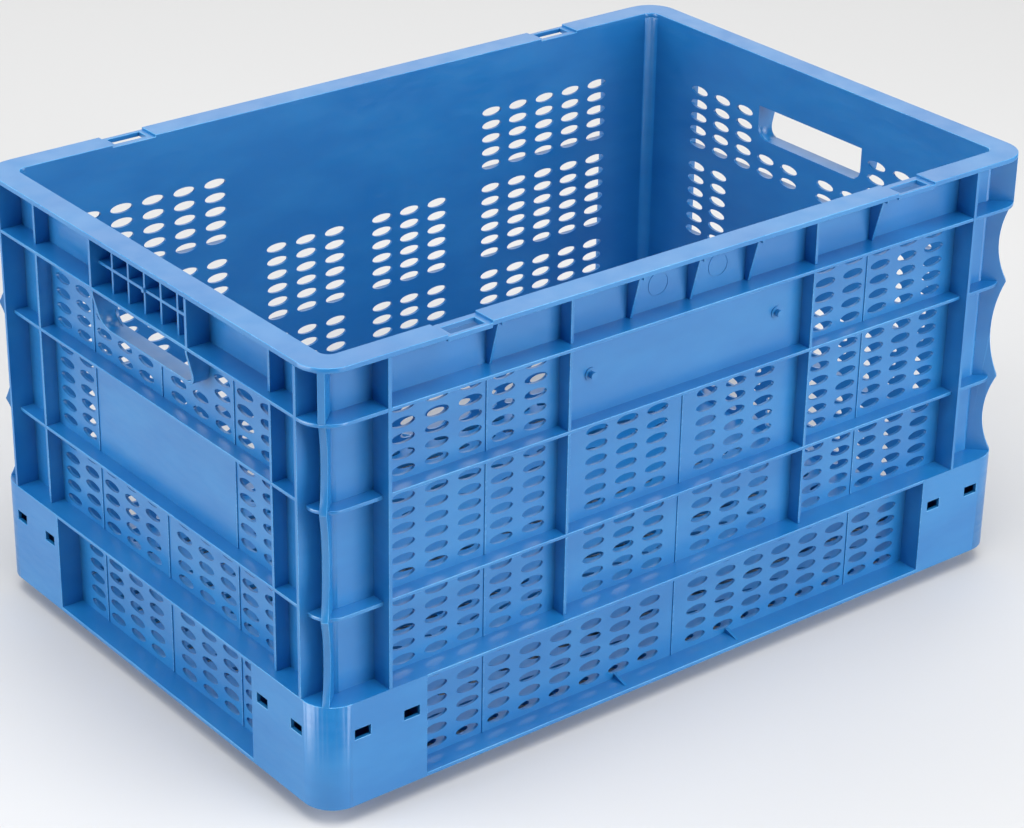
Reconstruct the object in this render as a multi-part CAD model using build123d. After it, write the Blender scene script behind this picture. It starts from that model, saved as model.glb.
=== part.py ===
from build123d import *
import os

# A rigid, perforated, stackable crate moulded in one shot. Millimetres; +X runs along the long side,
# +Z is up, z = 0 is the surface the crate stands on and the origin is the middle of its footprint.

# Overall size
length = 600.0
width = 400.0
height = 320.0

# Wall build-up, as depths measured inwards from the outer faces
wall_depth = 16.5        # outer surface of the perforated wall panels
wall = 2.0               # thickness of the wall panels
rim_thickness = 3.5
rib_setback = 6.0        # how far the middle and lower ribs stay behind the outer faces
rib = 2.5                # thickness of the full ribs
fine_rib = 2.0           # thickness of the small ribs
corner_radius = 22.0
cavity_radius = 7.0

# Levels
foot_height = 12.5       # the foot that drops into the rim of the crate below
foot_clearance = 2.5     # between the foot and that rim, on every side
foot_wall = 3.0
floor_thickness = 3.0
plinth_height = 73.0     # between the base flange and the shelf over it
grip_band = 33.0         # between the rim and the belt rib
label_bay = 58.5         # between the belt rib and the middle rib
lower_bay = 57.5         # between the plinth shelf and the lower rib

# Places along the walls, measured from the middle or from the corner
corner_bay_long = 51.6   # corner to the post rib on the long walls
corner_bay_end = 25.1    # the same on the end walls
upright_long = 104.2     # middle of the wall to the upright rib
upright_end = 138.9
bead_long = 163.0        # middle of the wall to the fine bead
bead_end = 84.0
plinth_block = 80.0      # length of the closed plinth corner along each wall

# Ventilation holes
hole_half_length = 9.0
hole_half_height = 3.4
column_pitch = 25.7
row_pitch = 10.75
first_column_long = 21.4
first_column_end = 19.6
hole_margin = 2.4        # least land between a hole and any rib
hole_drop = 1.1          # how far the hole fields sit below the middle of their bays
floor_row_pitch = 21.5

# Hand holes in the end walls
grip_half = 55.0
grip_height = 26.0
grip_radius = 9.0
collar_wall = 2.2
collar_low_reach = 10.0  # how far the collar stands proud of the panel at its sill
collar_high_reach = 17.0
cage_half = 57.0         # middle of the hand hole to the outer ribs above it
cage_pitch = 19.4
nub_radius = 1.5         # the sheared gate in the middle of the cage
nub_reach = 1.5

# Small features
bead_width = 1.6
bead_height = 0.9
gusset_pitch = 50.3
gusset_top_reach = 11.5
gusset_low_reach = 3.5
gusset_ledge = 4.0
gusset_ledge_height = 2.5
slot_place = 188.5       # middle of the wall to the rim slot
slot_length = 25.5
slot_edge = 3.0          # outer face to the slot
slot_width = 10.5
dip_length = 34.0
dip_depth = 1.6
window_length = 12.0
window_height = 7.0
window_places = (30.0, 68.0)
window_level = 52.5      # base flange underside to the window's middle
stud_place = 80.0
stud_radius = 2.4
stud_reach = 4.5
boss_radius = 4.4        # the low round pad that each stud stands on
boss_reach = 0.8
flange_gusset_reach = 13.0
flange_gusset_height = 4.0
plinth_wall = 3.0
fin_width = 4.5
fin_scallop = 7.5
mark_place = 25.5
mark_radius = 8.5
mark_reach = 0.3
mark_line = 0.8
cross_rib_pitch = 92.0
floor_rib_lift = 2.0     # the floor ribs stay this far above the foot's edge
over = 1.0               # how far a cut runs past the faces that it opens

# Levels that follow from the sizes above
base_low = foot_height
base_top = base_low + floor_thickness
shelf_low = base_top + plinth_height - rib
shelf_top = shelf_low + rib
lower_low = shelf_top + lower_bay
lower_top = lower_low + rib
rim_low = height - rim_thickness
belt_top = rim_low - grip_band
belt_low = belt_top - rib
middle_top = belt_low - label_bay
middle_low = middle_top - rib
grip_low = belt_low - grip_height

# Half sizes
half_long = length / 2
half_short = width / 2
post_long = half_long - corner_bay_long
post_end = half_short - corner_bay_end
block_long = half_long - plinth_block
block_end = half_short - plinth_block
inner_depth = wall_depth + wall  # the rim ends flush with the inside of the walls
foot_inset = inner_depth + foot_clearance

# Turns and moves a long or end wall from its own frame: outwards is -Y, the outer face is y = 0
SIDES = {
    "front": (0, (0, -half_short)),
    "rear": (180, (0, half_short)),
    "left": (-90, (-half_long, 0)),
    "right": (90, (half_long, 0)),
}
LONG_SIDES = ("front", "rear")
CORNERS = {
    "front_left": (),
    "front_right": (Plane.YZ,),
    "rear_left": (Plane.XZ,),
    "rear_right": (Plane.YZ, Plane.XZ),
}


def place(shape, side):
    turn, (x, y) = SIDES[side]
    return Pos(x, y, 0) * Rot(0, 0, turn) * shape


def bar(x_low, x_high, depth_low, depth_high, z_low, z_high):
    """A box given by its limits."""
    size = (x_high - x_low, depth_high - depth_low, z_high - z_low)
    middle = ((x_low + x_high) / 2, (depth_low + depth_high) / 2, (z_low + z_high) / 2)
    return Pos(*middle) * Box(*size)


def prism(points, plane, thickness):
    """A flat outline on a plane, thickened equally to both sides."""
    return extrude(plane * make_face(Polyline(*points, close=True)), thickness / 2, both=True)


def write(name, shapes):
    shapes = shapes if isinstance(shapes, (list, tuple)) else [shapes]
    solids = [solid for shape in shapes for solid in shape.solids()]
    body = solids[0] if len(solids) == 1 else Compound(children=solids)
    export_step(body, f"parts/{name}.step")


def loop(inset, radius):
    """The crate's outline, moved inwards."""
    return RectangleRounded(length - 2 * inset, width - 2 * inset, radius)


def ring(outer_inset, inner_inset, z_low, z_high):
    """A closed band between two insets of the outline, with corners that follow each other."""
    outer = loop(outer_inset, max(corner_radius - outer_inset, cavity_radius))
    inner = loop(inner_inset, max(corner_radius - inner_inset, cavity_radius))
    return Pos(0, 0, z_low) * extrude(outer - inner, z_high - z_low)


def wall_face(half, z_low, z_high, holes, grip=None):
    """A wall panel's outline with its holes, drawn flat with z up the page."""
    middle = (z_low + z_high) / 2
    outline = Pos(0, middle) * Rectangle(2 * half, z_high - z_low)
    inner = [(Pos(u, z) * Ellipse(hole_half_length, hole_half_height)).wire() for u, z in holes]
    if grip is not None:
        inner.append(grip.wire())
    return Face(outline.wire(), inner)


def clear_of(u, stops):
    return all(abs(abs(u) - stop) > hole_half_length + hole_margin for stop in stops)


def columns(first, limit, ribs):
    """Column places on both sides of the middle, kept off the ribs."""
    places = []
    u = first
    while u + hole_half_length + hole_margin < limit:
        if clear_of(u, ribs):
            places += [-u, u]
        u += column_pitch
    return sorted(places)


def rows(z_low, z_high):
    """As many rows as the bay takes, centred in it."""
    room = z_high - z_low - 2 * (hole_half_height + hole_margin)
    if room < 0:
        return []
    count = int(room // row_pitch) + 1
    start = (z_low + z_high) / 2 - hole_drop - (count - 1) * row_pitch / 2
    return [start + k * row_pitch for k in range(count)]


BAYS = {
    "label": (middle_top, belt_low),
    "middle": (lower_top, middle_low),
    "lower": (shelf_top, lower_low),
    "plinth": (base_top, shelf_low),
}


def grip_outline(growth=0.0):
    """The hand hole: square at the top under the belt rib, rounded at the sill."""
    low = grip_low - growth
    half = grip_half + growth
    corner = grip_radius + growth
    arc_left = CenterArc((-half + corner, low + corner), corner, 180, 90)
    arc_right = CenterArc((half - corner, low + corner), corner, 270, 90)
    sill = Line(arc_left @ 1, arc_right @ 0)
    right = Line(arc_right @ 1, (half, belt_low))
    top = Line((half, belt_low), (-half, belt_low))
    left = Line((-half, belt_low), arc_left @ 0)
    return make_face([arc_left, sill, arc_right, right, top, left])


def long_panel():
    holes = []
    wide = columns(first_column_long, post_long, (upright_long, bead_long))
    for bay, limits in BAYS.items():
        if bay == "plinth":
            places = columns(first_column_long, block_long, (bead_long,))
        elif bay == "label":
            places = [u for u in wide if abs(u) > upright_long]
        else:
            places = wide
        holes += [(u, z) for z in rows(*limits) for u in places]
    face = wall_face(post_long - rib / 2, base_low, rim_low, holes)
    return upright_plate(face)


def end_panel():
    holes = []
    wide = columns(first_column_end, upright_end, (bead_end,))
    under_grip = grip_low - collar_wall - hole_half_height
    for bay, limits in BAYS.items():
        if bay == "plinth":
            places = columns(first_column_end, block_end, (bead_end,))
        elif bay == "middle":
            places = [u for u in wide if abs(u) > bead_end]
        else:
            places = wide
        for z in rows(*limits):
            for u in places:
                beside = abs(u) - hole_half_length > cage_half + collar_wall
                if bay != "label" or beside or z < under_grip:
                    holes.append((u, z))
    face = wall_face(post_end - rib / 2, base_low, rim_low, holes, grip_outline())
    return upright_plate(face)


def upright_plate(face):
    """Stands a flat panel outline up in the wall's frame, behind the ribs."""
    outer_surface = Plane(origin=(0, wall_depth, 0), x_dir=(1, 0, 0), z_dir=(0, -1, 0))
    return extrude(outer_surface * face, -wall)


def panel_half(side):
    return (post_long if side in LONG_SIDES else post_end) - rib / 2


def shelf(side, z_low, setback):
    """A horizontal rib between the two corner posts of a wall."""
    half = panel_half(side)
    return place(bar(-half, half, setback, wall_depth, z_low, z_low + rib), side)


def between_blocks(side, z_low, z_high):
    half = block_long if side in LONG_SIDES else block_end
    return place(bar(-half, half, 0, wall_depth, z_low, z_high), side)


def upright_rib(side, sign):
    """An upright rib in four lengths, one in each bay over the plinth shelf."""
    u = sign * (upright_long if side in LONG_SIDES else upright_end)
    spans = [(belt_top, rim_low), (middle_top, belt_low), (lower_top, middle_low), (shelf_top, lower_low)]
    lengths = [bar(u - rib / 2, u + rib / 2, rib_setback, wall_depth, low, high) for low, high in spans]
    return [place(piece, side) for piece in lengths]


def beads(side):
    """Fine upright beads that divide the hole fields."""
    outer = bead_long if side in LONG_SIDES else bead_end
    front_face = wall_depth - bead_height
    pieces = []
    for bay, (low, high) in BAYS.items():
        for u in (-outer, 0.0, outer):
            top = high
            blank = bay == ("label" if side in LONG_SIDES else "middle")
            if blank and u == 0.0:
                continue
            if bay == "label" and side not in LONG_SIDES and u == 0.0:
                top = grip_low - collar_wall
            pieces.append(bar(u - bead_width / 2, u + bead_width / 2, front_face, wall_depth, low, top))
    return [place(piece, side) for piece in pieces]


def rim_gussets(side):
    """Tapered webs under the rim of a long wall, each with a small ledge at its top."""
    top = rim_low
    low = belt_top
    ledge_low = top - gusset_ledge_height
    reach_top = wall_depth - gusset_top_reach
    outline = [
        (wall_depth, low),
        (wall_depth - gusset_low_reach, low),
        (reach_top, ledge_low),
        (reach_top - gusset_ledge, ledge_low),
        (reach_top - gusset_ledge, top),
        (wall_depth, top),
    ]
    across = Plane(origin=(0, 0, 0), x_dir=(0, 1, 0), z_dir=(1, 0, 0))
    web = prism(outline, across, fine_rib)
    spots = (-bead_long, -gusset_pitch, 0.0, gusset_pitch, bead_long)
    return [place(Pos(u, 0, 0) * web, side) for u in spots]


def flange_gussets(side):
    """Low wedges on the base flange of a long wall."""
    outline = [
        (wall_depth, base_top),
        (wall_depth, base_top + flange_gusset_height),
        (wall_depth - flange_gusset_reach, base_top),
    ]
    across = Plane(origin=(0, 0, 0), x_dir=(0, 1, 0), z_dir=(1, 0, 0))
    wedge = prism(outline, across, fine_rib)
    return [place(Pos(u, 0, 0) * wedge, side) for u in (-gusset_pitch, gusset_pitch)]


def label_studs(side):
    """Two short studs, each on a low pad, on the blank label panel of a long wall."""
    level = (middle_top + belt_low) / 2
    surface = Plane(origin=(0, wall_depth, level), x_dir=(1, 0, 0), z_dir=(0, -1, 0))
    stud = extrude(surface * Circle(boss_radius), boss_reach)
    stud += extrude(surface * Circle(stud_radius), stud_reach)
    return [place(Pos(u, 0, 0) * stud, side) for u in (-stud_place, stud_place)]


def mould_marks(side):
    """Two plain rings left by mould inserts, with nothing inside them."""
    level = belt_top + grip_band / 2
    surface = Plane(origin=(0, wall_depth, level), x_dir=(1, 0, 0), z_dir=(0, -1, 0))
    mark = extrude(surface * (Circle(mark_radius) - Circle(mark_radius - mark_line)), mark_reach)
    return [place(Pos(u, 0, 0) * mark, side) for u in (-mark_place, mark_place)]


def handle_collar(side):
    """The sill and cheeks that frame a hand hole, open at the top under the belt rib."""
    surface = Plane(origin=(0, wall_depth, 0), x_dir=(1, 0, 0), z_dir=(0, -1, 0))
    frame = grip_outline(collar_wall) - grip_outline()
    tube = extrude(surface * frame, wall_depth)
    sill = grip_low - collar_wall
    slope = [
        (wall_depth, sill),
        (wall_depth - collar_low_reach, sill),
        (wall_depth - collar_high_reach, belt_low),
        (wall_depth, belt_low),
    ]
    across = Plane(origin=(0, 0, 0), x_dir=(0, 1, 0), z_dir=(1, 0, 0))
    keep = prism(slope, across, length)
    return place(tube & keep, side)


def grip_cage(side):
    """The ribbed grip over a hand hole: two full ribs, five set-back ribs, a cross rib and a gate."""
    pieces = []
    for sign in (-1, 1):
        u = sign * cage_half
        pieces.append(bar(u - rib / 2, u + rib / 2, 0, wall_depth, belt_top, rim_low))
    for k in range(-2, 3):
        u = k * cage_pitch
        half = fine_rib / 2
        pieces.append(bar(u - half, u + half, rib_setback, wall_depth, belt_top, rim_low))
    inner = cage_half - rib / 2
    level = (belt_top + rim_low) / 2
    half = fine_rib / 2
    pieces.append(bar(-inner, inner, rib_setback, wall_depth, level - half, level + half))
    rib_edge = Plane(origin=(0, rib_setback, level), x_dir=(1, 0, 0), z_dir=(0, -1, 0))
    pieces.append(extrude(rib_edge * Circle(nub_radius), nub_reach))
    cage = pieces[0]
    for piece in pieces[1:]:
        cage = cage + piece
    return place(cage, side)


def corner_box(x_limit, y_limit):
    """Everything outside two limits at the front left corner."""
    return bar(-half_long - over, -x_limit, -half_short - over, -y_limit, 0, height)


def fin():
    """The diagonal fin on a corner, scalloped between the ribs."""
    reach_in = inner_depth * 2 ** 0.5
    stations = [shelf_top, lower_top, middle_top, belt_top]
    tip = corner_radius * (2 ** 0.5 - 1)
    edge = Line((tip, belt_top), (tip, rim_low))
    lines = [edge]
    for low, high in zip(stations, stations[1:]):
        dip = (tip + fin_scallop, (low + high) / 2)
        lines.append(ThreePointArc((tip, low), dip, (tip, high)))
    back = tip + reach_in
    lines.append(Polyline((tip, rim_low), (back, rim_low), (back, shelf_top), (tip, shelf_top)))
    diagonal = Plane(origin=(-half_long, -half_short, 0), x_dir=(1, 1, 0), z_dir=(1, -1, 0))
    plate = extrude(diagonal * make_face(lines), fin_width / 2, both=True)
    return plate - cavity_side()


def cavity_side():
    """The space on the inside of the wall panels' outer surface."""
    core = loop(wall_depth, max(corner_radius - wall_depth, cavity_radius))
    return extrude(core, height)


def corner_post():
    """The rounded wall corner with its two post ribs, its ledges and its fin, face to face."""
    inner_x = post_long - rib / 2
    inner_y = post_end - rib / 2
    outer_x = post_long + rib / 2
    outer_y = post_end + rib / 2
    skin = ring(wall_depth, inner_depth, base_low, rim_low) & corner_box(inner_x, inner_y)
    rib_long = bar(-outer_x, -inner_x, -half_short, -half_short + wall_depth, shelf_top, rim_low)
    rib_end = bar(-half_long, -half_long + wall_depth, -outer_y, -inner_y, shelf_top, rim_low)
    blade = fin() - rib_long - rib_end
    pieces = [skin, rib_long, rib_end, blade]
    for level, setback in ((belt_low, 0), (middle_low, rib_setback), (lower_low, rib_setback)):
        ledge = ring(setback, wall_depth, level, level + rib) & corner_box(outer_x, outer_y)
        pieces += (ledge - blade).solids()
    return pieces


def plinth_corner():
    """The closed block at the foot of a corner, hollow, with two windows in each face."""
    box = corner_box(block_long, block_end)
    block = ring(0, plinth_wall, base_low, shelf_low) & box
    block += ring(0, wall_depth, shelf_low, shelf_top) & box
    block += ring(0, wall_depth, base_low, base_top) & box
    block += bar(
        -block_long - plinth_wall, -block_long, -half_short, -half_short + wall_depth, base_low, shelf_top
    )
    block += bar(
        -half_long, -half_long + wall_depth, -block_end - plinth_wall, -block_end, base_low, shelf_top
    )
    z_low = base_low + window_level - window_height / 2
    z_high = z_low + window_height
    through = plinth_wall + over
    for spot in window_places:
        low = spot - window_length / 2
        high = spot + window_length / 2
        long_x = (-half_long + low, -half_long + high)
        end_y = (-half_short + low, -half_short + high)
        block -= bar(*long_x, -half_short - over, -half_short + through, z_low, z_high)
        block -= bar(-half_long - over, -half_long + through, *end_y, z_low, z_high)
    return block


def at_corner(shapes, mirrors):
    for plane in mirrors:
        shapes = [mirror(shape, plane) for shape in shapes]
    return shapes


def top_rim():
    """The flat rim, dipped and slotted near the quarters of each long wall."""
    rim = ring(0, inner_depth, rim_low, height)
    half_dip = dip_length / 2
    half_slot = slot_length / 2
    slot_high = slot_edge + slot_width
    for side in LONG_SIDES:
        for u in (-slot_place, slot_place):
            dip = (u - half_dip, u + half_dip)
            slot = (u - half_slot, u + half_slot)
            rim -= place(bar(*dip, -over, inner_depth + over, height - dip_depth, height + over), side)
            rim += place(bar(*dip, 0, wall_depth, rim_low - dip_depth, rim_low), side)
            rim -= place(bar(*slot, slot_edge, slot_high, rim_low - dip_depth - over, height + over), side)
    return rim


def floor_panel():
    half_x = half_long - inner_depth
    half_y = half_short - inner_depth
    outline = RectangleRounded(2 * half_x, 2 * half_y, cavity_radius)
    holes = []
    x_places = columns(first_column_long, half_x - foot_inset + wall_depth, ())
    count = int((half_y - foot_inset + wall_depth - hole_half_height) // floor_row_pitch)
    for x in x_places:
        for k in range(-count, count + 1):
            holes.append((Pos(x, k * floor_row_pitch) * Ellipse(hole_half_length, hole_half_height)).wire())
    return Pos(0, 0, base_low) * extrude(Face(outline.wire(), holes), floor_thickness)


def floor_ribs():
    """The webs under the floor, inside the foot: two long ones and short ones across."""
    inner_x = half_long - foot_inset - foot_wall
    inner_y = half_short - foot_inset - foot_wall
    long_y = inner_y / 3
    half = fine_rib / 2
    pieces = [bar(-inner_x, inner_x, s * long_y - half, s * long_y + half, floor_rib_lift, base_low)
              for s in (-1, 1)]
    spans = [(-inner_y, -long_y - half), (-long_y + half, long_y - half), (long_y + half, inner_y)]
    count = int((inner_x - half) // cross_rib_pitch)
    for k in range(-count, count + 1):
        x = k * cross_rib_pitch
        pieces += [bar(x - half, x + half, low, high, floor_rib_lift, base_low) for low, high in spans]
    return pieces


os.makedirs("parts", exist_ok=True)

write("floor_panel", floor_panel())
write("floor_ribs", floor_ribs())
write("stacking_foot", ring(foot_inset, foot_inset + foot_wall, 0, base_low))
write("top_rim", top_rim())

long_wall = long_panel()
end_wall = end_panel()
for side in SIDES:
    on_long_side = side in LONG_SIDES
    write(f"{side}_wall_panel", place(long_wall if on_long_side else end_wall, side))
    write(f"{side}_base_flange", between_blocks(side, base_low, base_top))
    write(f"{side}_plinth_shelf", between_blocks(side, shelf_low, shelf_top))
    write(f"{side}_lower_rib", shelf(side, lower_low, rib_setback))
    write(f"{side}_middle_rib", shelf(side, middle_low, rib_setback))
    write(f"{side}_belt_rib", shelf(side, belt_low, 0))
    write(f"{side}_upright_rib_a", upright_rib(side, -1))
    write(f"{side}_upright_rib_b", upright_rib(side, 1))
    write(f"{side}_panel_beads", beads(side))
    if on_long_side:
        write(f"{side}_rim_gussets", rim_gussets(side))
        write(f"{side}_flange_gussets", flange_gussets(side))
        write(f"{side}_label_studs", label_studs(side))
    else:
        write(f"{side}_handle_collar", handle_collar(side))
        write(f"{side}_grip_cage", grip_cage(side))
write("front_mould_marks", mould_marks("front"))

post = corner_post()
block = [plinth_corner()]
for corner, mirrors in CORNERS.items():
    write(f"corner_post_{corner}", at_corner(post, mirrors))
    write(f"plinth_corner_{corner}", at_corner(block, mirrors))
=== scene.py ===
import math

import bpy
import numpy as np
from mathutils import Matrix, Vector
from mathutils.bvhtree import BVHTree


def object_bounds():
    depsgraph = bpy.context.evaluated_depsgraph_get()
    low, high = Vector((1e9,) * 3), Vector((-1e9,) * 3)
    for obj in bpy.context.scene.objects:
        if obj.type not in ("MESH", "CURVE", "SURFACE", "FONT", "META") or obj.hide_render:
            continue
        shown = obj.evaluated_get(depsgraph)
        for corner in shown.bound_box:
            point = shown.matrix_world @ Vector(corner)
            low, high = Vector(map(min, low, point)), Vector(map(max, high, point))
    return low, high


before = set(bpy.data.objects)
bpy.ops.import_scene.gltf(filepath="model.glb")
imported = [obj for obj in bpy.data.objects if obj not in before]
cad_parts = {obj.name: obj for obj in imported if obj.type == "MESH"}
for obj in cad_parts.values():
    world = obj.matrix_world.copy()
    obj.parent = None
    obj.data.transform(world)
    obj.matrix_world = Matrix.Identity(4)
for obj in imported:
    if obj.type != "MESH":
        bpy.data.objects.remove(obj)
cad_low, cad_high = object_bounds()

# Metres throughout. +X runs along the long side and the front wall faces -Y.

# Camera: a long lens, standing off the front left corner and looking down on the crate
CAMERA_PLACE = Vector((-1.1630, -1.4607, 1.0564))
CAMERA_TARGET = Vector((-0.0093, -0.0163, 0.1353))
CAMERA_ROLL = math.radians(1.0)
CAMERA_LENS = 103.07
SENSOR_WIDTH = 36.0

CAMERA_CLIP = (0.05, 50)

# Edge rounding. The perforated panels and the mould rings stay as they are: rounding folds the thin
# triangles between the holes, and the rings are lower than the rounding is wide.
WELD_DISTANCE = 1e-6
EDGE_ROUND = 0.0004
EDGE_SLOT = 1                # the material slot that the rounded edges take
SHARP_TURN = math.cos(math.radians(35))
PLACES_PER_METRE = 1e6       # corners that agree to this are one corner
SHORT_EDGE = 0.003           # shorter edges, of holes and arcs, are not tested for being covered
TOUCH = 0.00005              # two faces this near lie on each other
OPPOSED = -0.9               # and face each other when their normals agree less than this
PROBE_INSET = 0.0004         # how far inside a face, from its edge, the touch is looked for
PROBE_SHARES = (0.15, 0.5, 0.85)

# Lamps: name, direction from the crate, distance, side, power
LAMPS = (
    ("left_key", (-0.93, 0.40, 0.30), 4.0, 2.9, 132),
    ("front_key", (0.40, -0.93, 0.30), 4.0, 2.9, 140),
    ("overhead", (-0.16, -0.22, 1.0), 4.0, 3.3, 152),
    ("backdrop", (0.62, 0.78, 0.45), 4.7, 4.7, 100),
)
WORLD_STRENGTH = 0.03
FLOOR_HALF = 6.0
FLOOR_COLOUR = (0.70, 0.70, 0.70, 1)
FLOOR_ROUGHNESS = 0.9

# Plastic
BLUE = (0.008, 0.175, 0.480, 1)
PALE_BLUE = (0.014, 0.205, 0.520, 1)   # the slow drift of colour runs between these two
HIGHLIGHT_BLUE_DEEP = (0.045, 0.300, 0.660, 1)   # and between these two on the rounded edges: a painted highlight, paler than the walls
HIGHLIGHT_BLUE_LIGHT = (0.110, 0.400, 0.740, 1)
WALL_ROUGHNESS = (0.30, 0.44)
HIGHLIGHT_ROUGHNESS = (0.22, 0.34)
PLASTIC_IOR = 1.5
PLASTIC_SPECULAR = 0.9
GRAIN_SCALE = 900.0                    # the fine texture of the mould, per metre
GRAIN_STRENGTH = 0.10
GRAIN_DEPTH = 0.0002
FLOW_SCALE = 14.0                      # the slow drift of the melt along the walls
FLOW_STRETCH = (1.0, 1.0, 2.5)
FLOW_RANGE = (0.40, 0.65)
RIPPLE_STRENGTH = 0.35
RIPPLE_DEPTH = 0.0010
SCUFF_SCALE = 160.0
SCUFF_STRETCH = (0.35, 0.35, 1.6)
SCUFF_RANGE = (0.35, 0.75)


def read_mesh(mesh):
    """Vertex places, triangle corners, triangle edges, normals and edge ends, as arrays."""
    places = np.empty(len(mesh.vertices) * 3, dtype=np.float32)
    mesh.vertices.foreach_get("co", places)
    corners = np.empty(len(mesh.loops), dtype=np.int32)
    mesh.loops.foreach_get("vertex_index", corners)
    loop_edges = np.empty(len(mesh.loops), dtype=np.int32)
    mesh.loops.foreach_get("edge_index", loop_edges)
    normals = np.empty(len(mesh.polygons) * 3, dtype=np.float32)
    mesh.polygons.foreach_get("normal", normals)
    ends = np.empty(len(mesh.edges) * 2, dtype=np.int32)
    mesh.edges.foreach_get("vertices", ends)
    return (
        places.reshape(-1, 3), corners.reshape(-1, 3), loop_edges.reshape(-1, 3),
        normals.reshape(-1, 3), ends.reshape(-1, 2),
    )


def convex_edges(places, corners, loop_edges, normals, ends):
    """Sharp outward edges, with their ends, their two triangles, and each mesh edge's place in the list."""
    grid = np.round(places * PLACES_PER_METRE).astype(np.int64)
    joined = np.unique(grid, axis=0, return_inverse=True)[1].reshape(-1)
    first, last = joined[ends[:, 0]], joined[ends[:, 1]]
    keys = np.minimum(first, last).astype(np.int64) * (len(places) + 1) + np.maximum(first, last)
    edge_of = np.unique(keys, return_inverse=True)[1].reshape(-1)
    total = edge_of.max() + 1
    uses = edge_of[loop_edges].reshape(-1)
    order = np.argsort(uses, kind="stable")
    triangle = np.repeat(np.arange(len(corners)), 3)[order]
    start = np.searchsorted(uses[order], np.arange(total))
    paired = np.bincount(uses, minlength=total) == 2
    face_a = np.where(paired, triangle[start], 0)
    face_b = np.where(paired, triangle[np.minimum(start + 1, len(triangle) - 1)], 0)
    sample = np.zeros(total, dtype=np.int64)
    sample[edge_of] = np.arange(len(edge_of))
    low, high = places[ends[sample, 0]], places[ends[sample, 1]]
    turned = (normals[face_a] * normals[face_b]).sum(axis=1) < SHARP_TURN
    beyond = places[corners[face_b]].mean(axis=1) - (low + high) / 2
    outward = (beyond * normals[face_a]).sum(axis=1) < 0
    return edge_of, paired & turned & outward, low, high, face_a, face_b


def covered(tree, owners, owner, point, normal):
    """Whether another node's face lies on this point of a face, and looks the other way."""
    for _, other_normal, index, _ in tree.find_nearest_range(point, TOUCH):
        if owners[index] != owner and other_normal.dot(normal) < OPPOSED:
            return True
    return False


def mark_edges(nodes):
    """Weights each sharp edge that lies open on both its faces, so that only those are rounded."""
    read = {name: read_mesh(node.data) for name, node in nodes.items()}
    places, corners, owners = [], [], []
    offset = 0
    for owner, (points, triangles, _, _, _) in enumerate(read.values()):
        places.append(points)
        corners.append(triangles + offset)
        owners.append(np.full(len(triangles), owner))
        offset += len(points)
    owners = np.concatenate(owners)
    tree = BVHTree.FromPolygons(
        np.concatenate(places).tolist(), np.concatenate(corners).tolist(), all_triangles=True,
    )
    for owner, (name, node) in enumerate(nodes.items()):
        points, triangles, _, normals, _ = read[name]
        edge_of, wanted, low, high, face_a, face_b = convex_edges(*read[name])
        weights = wanted.astype(np.float32)
        length = np.linalg.norm(high - low, axis=1)
        for edge in np.nonzero(wanted & (length > SHORT_EDGE))[0]:
            along = (high[edge] - low[edge]) / length[edge]
            for face in (face_a[edge], face_b[edge]):
                inwards = np.cross(normals[face], along)
                if np.dot(points[triangles[face]].mean(axis=0) - low[edge], inwards) < 0:
                    inwards = -inwards
                normal = Vector(normals[face].tolist())
                for share in PROBE_SHARES:
                    spot = low[edge] * (1 - share) + high[edge] * share + inwards * PROBE_INSET
                    if covered(tree, owners, owner, Vector(spot.tolist()), normal):
                        weights[edge] = 0
        layer = node.data.attributes.new("bevel_weight_edge", "FLOAT", "EDGE")
        layer.data.foreach_set("value", weights[edge_of])


def is_rounded(name):
    return not name.endswith("_panel") and name != "front_mould_marks"


def round_edges(node):
    """Welds a node's corners and rounds its marked edges, with modifiers only."""
    weld = node.modifiers.new("weld", "WELD")
    weld.merge_threshold = WELD_DISTANCE
    bevel = node.modifiers.new("rounding", "BEVEL")
    bevel.limit_method = "WEIGHT"
    bevel.width = EDGE_ROUND
    bevel.segments = 1
    bevel.harden_normals = True
    # The rounded edges take the paler material: a painted highlight along every edge.
    bevel.material = EDGE_SLOT


def add_camera():
    data = bpy.data.cameras.new("camera")
    data.sensor_width = SENSOR_WIDTH
    data.lens = CAMERA_LENS
    data.clip_start, data.clip_end = CAMERA_CLIP
    camera = bpy.data.objects.new("camera", data)
    look = (CAMERA_TARGET - CAMERA_PLACE).to_track_quat("-Z", "Y").to_matrix().to_4x4()
    camera.matrix_world = Matrix.Translation(CAMERA_PLACE) @ look @ Matrix.Rotation(CAMERA_ROLL, 4, "Z")
    bpy.context.scene.collection.objects.link(camera)
    bpy.context.scene.camera = camera


def soft_light(name, direction, distance, size, power):
    """A square softbox that looks at the middle of the crate from a direction."""
    middle = (Vector(cad_low) + Vector(cad_high)) / 2
    place = middle + Vector(direction).normalized() * distance
    data = bpy.data.lights.new(name, "AREA")
    data.shape = "SQUARE"
    data.size = size
    data.energy = power
    light = bpy.data.objects.new(name, data)
    look = (middle - place).to_track_quat("-Z", "Y").to_matrix().to_4x4()
    light.matrix_world = Matrix.Translation(place) @ look
    bpy.context.scene.collection.objects.link(light)


def noise(nodes, links, place, scale, detail, stretch=None):
    """A noise of a set scale in the object's own metres, drawn out along an axis if asked."""
    if stretch is not None:
        mapping = nodes.new("ShaderNodeMapping")
        mapping.inputs["Scale"].default_value = stretch
        links.new(place, mapping.inputs["Vector"])
        place = mapping.outputs["Vector"]
    texture = nodes.new("ShaderNodeTexNoise")
    texture.inputs["Scale"].default_value = scale
    texture.inputs["Detail"].default_value = detail
    links.new(place, texture.inputs["Vector"])
    return texture.outputs["Fac"]


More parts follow.
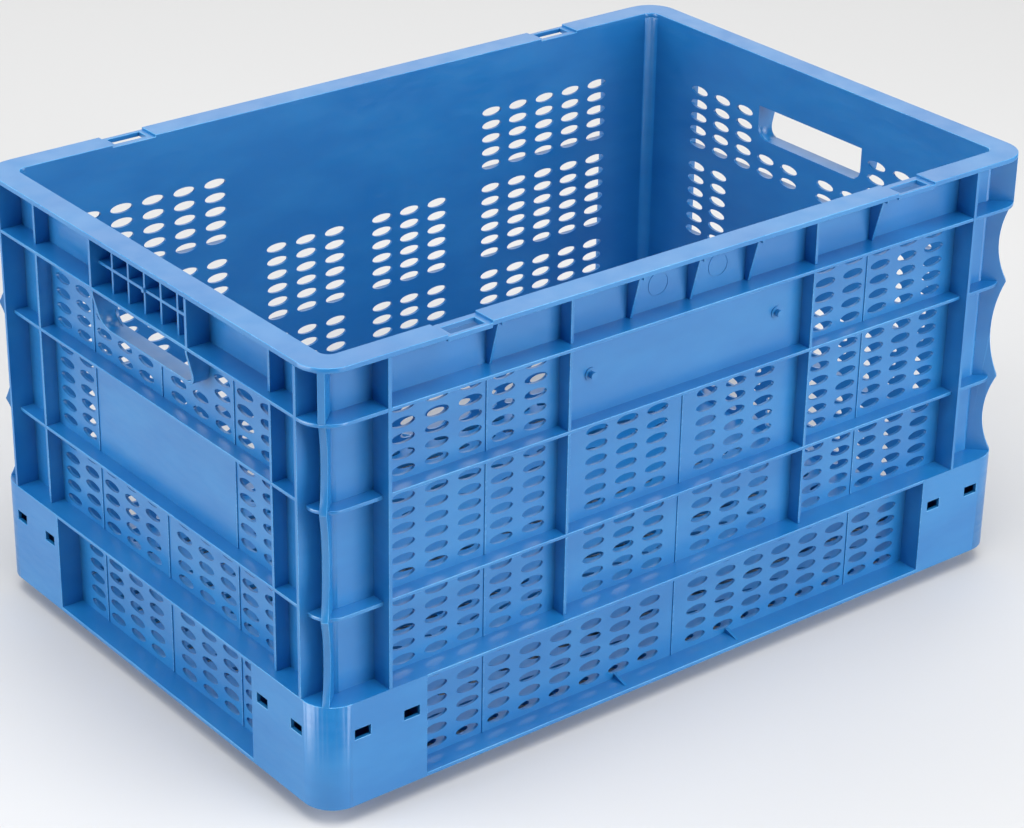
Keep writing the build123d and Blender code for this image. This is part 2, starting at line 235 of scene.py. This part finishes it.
def ramp(nodes, links, factor, source, target):
    """Maps a factor's range onto another range, clamped."""
    spread = nodes.new("ShaderNodeMapRange")
    spread.inputs["From Min"].default_value = source[0]
    spread.inputs["From Max"].default_value = source[1]
    spread.inputs["To Min"].default_value = target[0]
    spread.inputs["To Max"].default_value = target[1]
    links.new(factor, spread.inputs["Value"])
    return spread.outputs["Result"]


def plastic(name, deep, pale, roughness):
    """Blue polypropylene: a slow drift of colour, a fine mould grain and a few soft scuffs."""
    material = bpy.data.materials.new(name)
    material.use_nodes = True
    nodes = material.node_tree.nodes
    links = material.node_tree.links
    shader = nodes["Principled BSDF"]
    shader.inputs["IOR"].default_value = PLASTIC_IOR
    shader.inputs["Specular IOR Level"].default_value = PLASTIC_SPECULAR
    place = nodes.new("ShaderNodeTexCoord").outputs["Object"]

    flow = noise(nodes, links, place, FLOW_SCALE, 3, FLOW_STRETCH)
    colour = nodes.new("ShaderNodeMix")
    colour.data_type = "RGBA"
    colour.inputs["A"].default_value = deep
    colour.inputs["B"].default_value = pale
    links.new(ramp(nodes, links, flow, FLOW_RANGE, (0.0, 1.0)), colour.inputs["Factor"])
    links.new(colour.outputs["Result"], shader.inputs["Base Color"])

    scuff = noise(nodes, links, place, SCUFF_SCALE, 5, SCUFF_STRETCH)
    links.new(ramp(nodes, links, scuff, SCUFF_RANGE, roughness), shader.inputs["Roughness"])

    grain = nodes.new("ShaderNodeBump")
    grain.inputs["Strength"].default_value = GRAIN_STRENGTH
    grain.inputs["Distance"].default_value = GRAIN_DEPTH
    links.new(noise(nodes, links, place, GRAIN_SCALE, 2), grain.inputs["Height"])
    ripple = nodes.new("ShaderNodeBump")
    ripple.inputs["Strength"].default_value = RIPPLE_STRENGTH
    ripple.inputs["Distance"].default_value = RIPPLE_DEPTH
    links.new(flow, ripple.inputs["Height"])
    links.new(grain.outputs["Normal"], ripple.inputs["Normal"])
    links.new(ripple.outputs["Normal"], shader.inputs["Normal"])
    return material


def add_floor():
    corners = [
        (-FLOOR_HALF, -FLOOR_HALF, 0), (FLOOR_HALF, -FLOOR_HALF, 0),
        (FLOOR_HALF, FLOOR_HALF, 0), (-FLOOR_HALF, FLOOR_HALF, 0),
    ]
    mesh = bpy.data.meshes.new("floor")
    mesh.from_pydata(corners, [], [(0, 1, 2, 3)])
    floor = bpy.data.objects.new("floor", mesh)
    bpy.context.scene.collection.objects.link(floor)
    material = bpy.data.materials.new("pale_floor")
    material.use_nodes = True
    shader = material.node_tree.nodes["Principled BSDF"]
    shader.inputs["Roughness"].default_value = FLOOR_ROUGHNESS
    shader.inputs["Base Color"].default_value = FLOOR_COLOUR
    mesh.materials.append(material)


def add_world():
    world = bpy.data.worlds.new("studio")
    world.use_nodes = True
    background = world.node_tree.nodes["Background"]
    background.inputs["Color"].default_value = (1, 1, 1, 1)
    background.inputs["Strength"].default_value = WORLD_STRENGTH
    bpy.context.scene.world = world


add_camera()
add_world()
add_floor()
for lamp in LAMPS:
    soft_light(*lamp)
bpy.context.scene.view_settings.view_transform = "Standard"

mark_edges(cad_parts)
blue = plastic("blue_plastic", BLUE, PALE_BLUE, WALL_ROUGHNESS)
# A paler blue for the rounded edges: a painted highlight.
painted_highlight_material = plastic("painted_highlight_edge", HIGHLIGHT_BLUE_DEEP, HIGHLIGHT_BLUE_LIGHT, HIGHLIGHT_ROUGHNESS)
for name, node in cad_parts.items():
    if is_rounded(name):
        round_edges(node)
    for index in range(len(node.data.materials)):
        node.data.materials[index] = blue
    if is_rounded(name):
        node.data.materials.append(painted_highlight_material)
